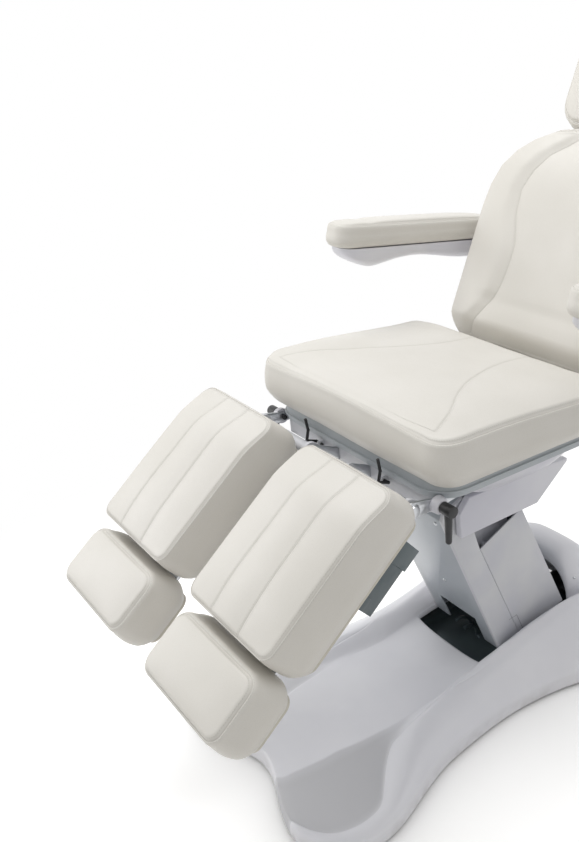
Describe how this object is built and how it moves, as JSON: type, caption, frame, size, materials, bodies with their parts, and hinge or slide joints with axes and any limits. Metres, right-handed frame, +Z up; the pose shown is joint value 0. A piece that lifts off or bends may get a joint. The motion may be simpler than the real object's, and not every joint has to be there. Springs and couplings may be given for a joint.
{
  "type": "podiatry chair",
  "caption": "Podiatry treatment chair on a swing-arm lift with a moulded base, separate adjustable leg rests, reclining back, hinged armrests and a sliding headrest.",
  "frame": {"origin": "on the floor, under the middle of the chair's base", "axes": "+Z up, -Y the way the sitter faces, +X the sitter's left"},
  "size_m": [0.814, 1.3295, 1.3683],
  "materials": {
    "cushion_leather": "satin",
    "base_moulding": "satin",
    "upper_moulding": "satin",
    "arm_paint": "satin",
    "tray_moulding": "matt",
    "dark_steel": "satin",
    "bright_steel": "brushed",
    "black_rubber": "matt",
    "black_plastic": "matt",
    "board_wood": "matt"
  },
  "bodies": {
    "base": {"base_cover": "base_moulding", "rear_hood": "base_moulding", "base_chassis": "dark_steel", "rubber_feet": "black_rubber", "mains_inlet": "black_plastic", "control_box": "black_plastic", "link_pivot_shaft": "bright_steel"},
    "lift_arm": {"arm_frame": "arm_paint", "arm_front_cover": "arm_paint", "arm_rear_cover": "arm_paint", "arm_pivot_shaft": "bright_steel", "head_pivot_shaft": "bright_steel"},
    "parallel_link": {"level_link": "dark_steel"},
    "lift_motor": {"lift_motor": "black_plastic"},
    "lift_rod": {"lift_rod": "bright_steel"},
    "head": {"head_bracket": "arm_paint", "head_cover": "upper_moulding"},
    "seat": {"seat_frame": "dark_steel", "seat_tray": "tray_moulding", "belly_pan": "upper_moulding", "seat_cushion": "cushion_leather", "front_beam": "arm_paint", "leg_side_plates": "bright_steel", "leg_hinge_shafts": "bright_steel"},
    "tilt_motor": {"tilt_motor": "black_plastic"},
    "tilt_rod": {"tilt_rod": "bright_steel"},
    "back_motor": {"back_motor": "black_plastic"},
    "back_rod": {"back_rod": "bright_steel"},
    "back": {"back_frame": "dark_steel", "back_shell": "upper_moulding", "back_cushion": "cushion_leather", "armrest_shaft": "bright_steel"},
    "headrest": {"headrest_posts": "bright_steel", "headrest_board": "board_wood", "headrest_cushion": "cushion_leather"},
    "left_armrest": {"left_armrest_shell": "upper_moulding", "left_armrest_pad": "cushion_leather"},
    "left_yoke": {"left_yoke": "arm_paint"},
    "left_leg": {"left_leg_frame": "dark_steel", "left_leg_board": "board_wood", "left_leg_cushion": "cushion_leather"},
    "left_foot": {"left_foot_slide": "bright_steel", "left_foot_board": "board_wood", "left_foot_cushion": "cushion_leather"},
    "left_clamp": {"left_clamp_lever": "black_plastic"},
    "left_release": {"left_release_rod": "black_plastic"},
    "right_armrest": {"right_armrest_shell": "upper_moulding", "right_armrest_pad": "cushion_leather"},
    "right_yoke": {"right_yoke": "arm_paint"},
    "right_leg": {"right_leg_frame": "dark_steel", "right_leg_board": "board_wood", "right_leg_cushion": "cushion_leather"},
    "right_foot": {"right_foot_slide": "bright_steel", "right_foot_board": "board_wood", "right_foot_cushion": "cushion_leather"},
    "right_clamp": {"right_clamp_lever": "black_plastic"},
    "right_release": {"right_release_rod": "black_plastic"}
  },
  "joints": [
    {"name": "lift", "type": "hinge", "parent": "base", "child": "lift_arm", "pos_m": [0, 0.215, 0.112], "axis": [-1, 0, 0], "range_deg": [-36, 18]},
    {"name": "link_turn", "type": "hinge", "parent": "base", "child": "parallel_link", "pos_m": [0, 0.26474, 0.14555], "axis": [-1, 0, 0], "range_deg": [-36, 18]},
    {"name": "head_level", "type": "hinge", "parent": "lift_arm", "child": "head", "pos_m": [0, 0.05353, 0.47468], "axis": [-1, 0, 0], "range_deg": [-18, 36]},
    {"name": "lift_motor_swing", "type": "hinge", "parent": "base", "child": "lift_motor", "pos_m": [0, 0.455, 0.062], "axis": [1, 0, 0], "range_deg": [-0.211, 0.413]},
    {"name": "lift_rod_slide", "type": "slide", "parent": "lift_motor", "child": "lift_rod", "axis": [0, -0.999, -0.045], "range_m": [-0.037, 0.01851]},
    {"name": "seat_tilt", "type": "hinge", "parent": "head", "child": "seat", "pos_m": [0, 0.19, 0.6], "axis": [-1, 0, 0], "range_deg": [0, 12]},
    {"name": "tilt_motor_swing", "type": "hinge", "parent": "head", "child": "tilt_motor", "pos_m": [0, 0.105, 0.557], "axis": [1, 0, 0], "range_deg": [-15.71, 0.01]},
    {"name": "tilt_rod_slide", "type": "slide", "parent": "tilt_motor", "child": "tilt_rod", "axis": [0, -0.9416, 0.3367], "range_m": [-0.00001, 0.01565]},
    {"name": "recline", "type": "hinge", "parent": "seat", "child": "back", "pos_m": [0, 0.325, 0.66], "axis": [-1, 0, 0], "range_deg": [0, 62]},
    {"name": "back_motor_swing", "type": "hinge", "parent": "seat", "child": "back_motor", "pos_m": [0.108, 0.018, 0.598], "axis": [1, 0, 0], "range_deg": [-0.709, 0.01]},
    {"name": "back_rod_slide", "type": "slide", "parent": "back_motor", "child": "back_rod", "axis": [0, 0.9993, 0.0364], "range_m": [-0.05976, 0.00001]},
    {"name": "headrest_height", "type": "slide", "parent": "back", "child": "headrest", "axis": [0, 0.3987, 0.9171], "range_m": [0, 0.09]},
    {"name": "left_armrest_turn", "type": "hinge", "parent": "back", "child": "left_armrest", "pos_m": [0.36, 0.46819, 0.89652], "axis": [-1, 0, 0], "range_deg": [0, 95]},
    {"name": "left_leg_tilt", "type": "hinge", "parent": "seat", "child": "left_yoke", "pos_m": [0.1815, -0.25, 0.641], "axis": [1, 0, 0], "range_deg": [-40.5, 30]},
    {"name": "left_leg_swing", "type": "hinge", "parent": "left_yoke", "child": "left_leg", "pos_m": [0.1815, -0.29182, 0.60528], "axis": [0, -0.6494, 0.7604], "range_deg": [0, 15]},
    {"name": "left_foot_slide", "type": "slide", "parent": "left_leg", "child": "left_foot", "axis": [0, -0.7604, -0.6494], "range_m": [0, 0.1]},
    {"name": "left_clamp_turn", "type": "hinge", "parent": "seat", "child": "left_clamp", "pos_m": [0.286, -0.197, 0.637], "axis": [1, 0, 0], "range_deg": [-60, 60]},
    {"name": "left_release_turn", "type": "hinge", "parent": "seat", "child": "left_release", "pos_m": [0.12, -0.2, 0.626], "axis": [1, 0, 0], "range_deg": [0, 12], "stiffness_Nm_per_rad": 0.2},
    {"name": "right_armrest_turn", "type": "hinge", "parent": "back", "child": "right_armrest", "pos_m": [-0.36, 0.46819, 0.89652], "axis": [-1, 0, 0], "range_deg": [0, 95]},
    {"name": "right_leg_tilt", "type": "hinge", "parent": "seat", "child": "right_yoke", "pos_m": [-0.1815, -0.25, 0.641], "axis": [1, 0, 0], "range_deg": [-40.5, 30]},
    {"name": "right_leg_swing", "type": "hinge", "parent": "right_yoke", "child": "right_leg", "pos_m": [-0.1815, -0.29182, 0.60528], "axis": [0, 0.6494, -0.7604], "range_deg": [0, 15]},
    {"name": "right_foot_slide", "type": "slide", "parent": "right_leg", "child": "right_foot", "axis": [0, -0.7604, -0.6494], "range_m": [0, 0.1]},
    {"name": "right_clamp_turn", "type": "hinge", "parent": "seat", "child": "right_clamp", "pos_m": [-0.286, -0.197, 0.637], "axis": [1, 0, 0], "range_deg": [-60, 60]},
    {"name": "right_release_turn", "type": "hinge", "parent": "seat", "child": "right_release", "pos_m": [-0.12, -0.2, 0.626], "axis": [1, 0, 0], "range_deg": [0, 12], "stiffness_Nm_per_rad": 0.2}
  ],
  "couplings": [
    {"joint": "link_turn", "follows": "lift", "ratio": 1},
    {"joint": "head_level", "follows": "lift", "ratio": -1},
    {"joint": "lift_motor_swing", "follows": "lift", "ratio": -0.01119},
    {"joint": "lift_rod_slide", "follows": "lift", "m_per_rad": 0.05888},
    {"joint": "tilt_motor_swing", "follows": "seat_tilt", "ratio": -1.3081},
    {"joint": "tilt_rod_slide", "follows": "seat_tilt", "m_per_rad": 0.07466},
    {"joint": "back_motor_swing", "follows": "recline", "ratio": -0.01127},
    {"joint": "back_rod_slide", "follows": "recline", "m_per_rad": -0.05522}
  ]
}
